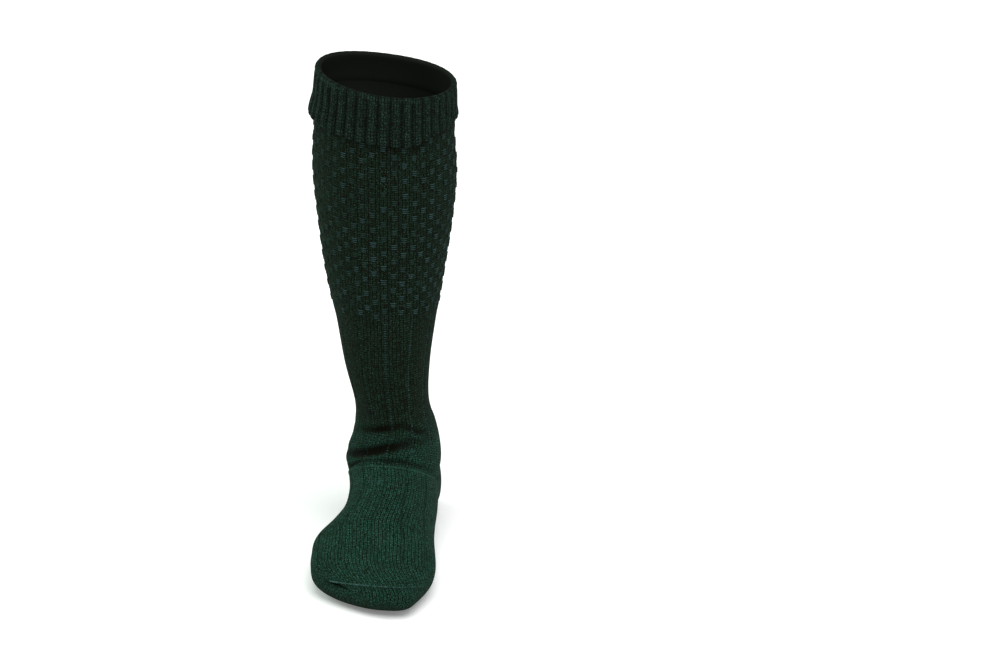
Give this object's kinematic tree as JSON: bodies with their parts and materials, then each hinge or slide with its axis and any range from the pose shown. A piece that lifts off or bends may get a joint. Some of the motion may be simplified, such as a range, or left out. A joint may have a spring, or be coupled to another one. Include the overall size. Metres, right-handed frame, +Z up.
{
  "type": "kilt hose sock",
  "caption": "Knee-high knitted sock in its worn shape, open at the top, with a ribbed turnover cuff, textured calf, ribbed shin and instep, turned heel and seamed toe",
  "frame": {"origin": "middle of the leg opening, level with the top of the leg's wall; the rim leans through this height", "axes": "+Z up along the leg, out of the opening; toes towards -Y, turned out by 8.5 degrees towards -X; big-toe side at +X, as on a right foot"},
  "size_m": [0.1222, 0.2549, 0.4146],
  "materials": {
    "cuff_rib": "matte wool rib, bottle green",
    "leg_knit": "matte wool knit, bottle green",
    "heel_knit": "matte plain wool knit, bottle green",
    "foot_knit": "matte wool knit, bottle green",
    "toe_knit": "matte plain wool knit, bottle green"
  },
  "bodies": {
    "root": {"turnover_cuff": "cuff_rib", "leg": "leg_knit", "heel_pocket": "heel_knit", "foot": "foot_knit", "toe_pocket": "toe_knit"}
  },
  "joints": []
}
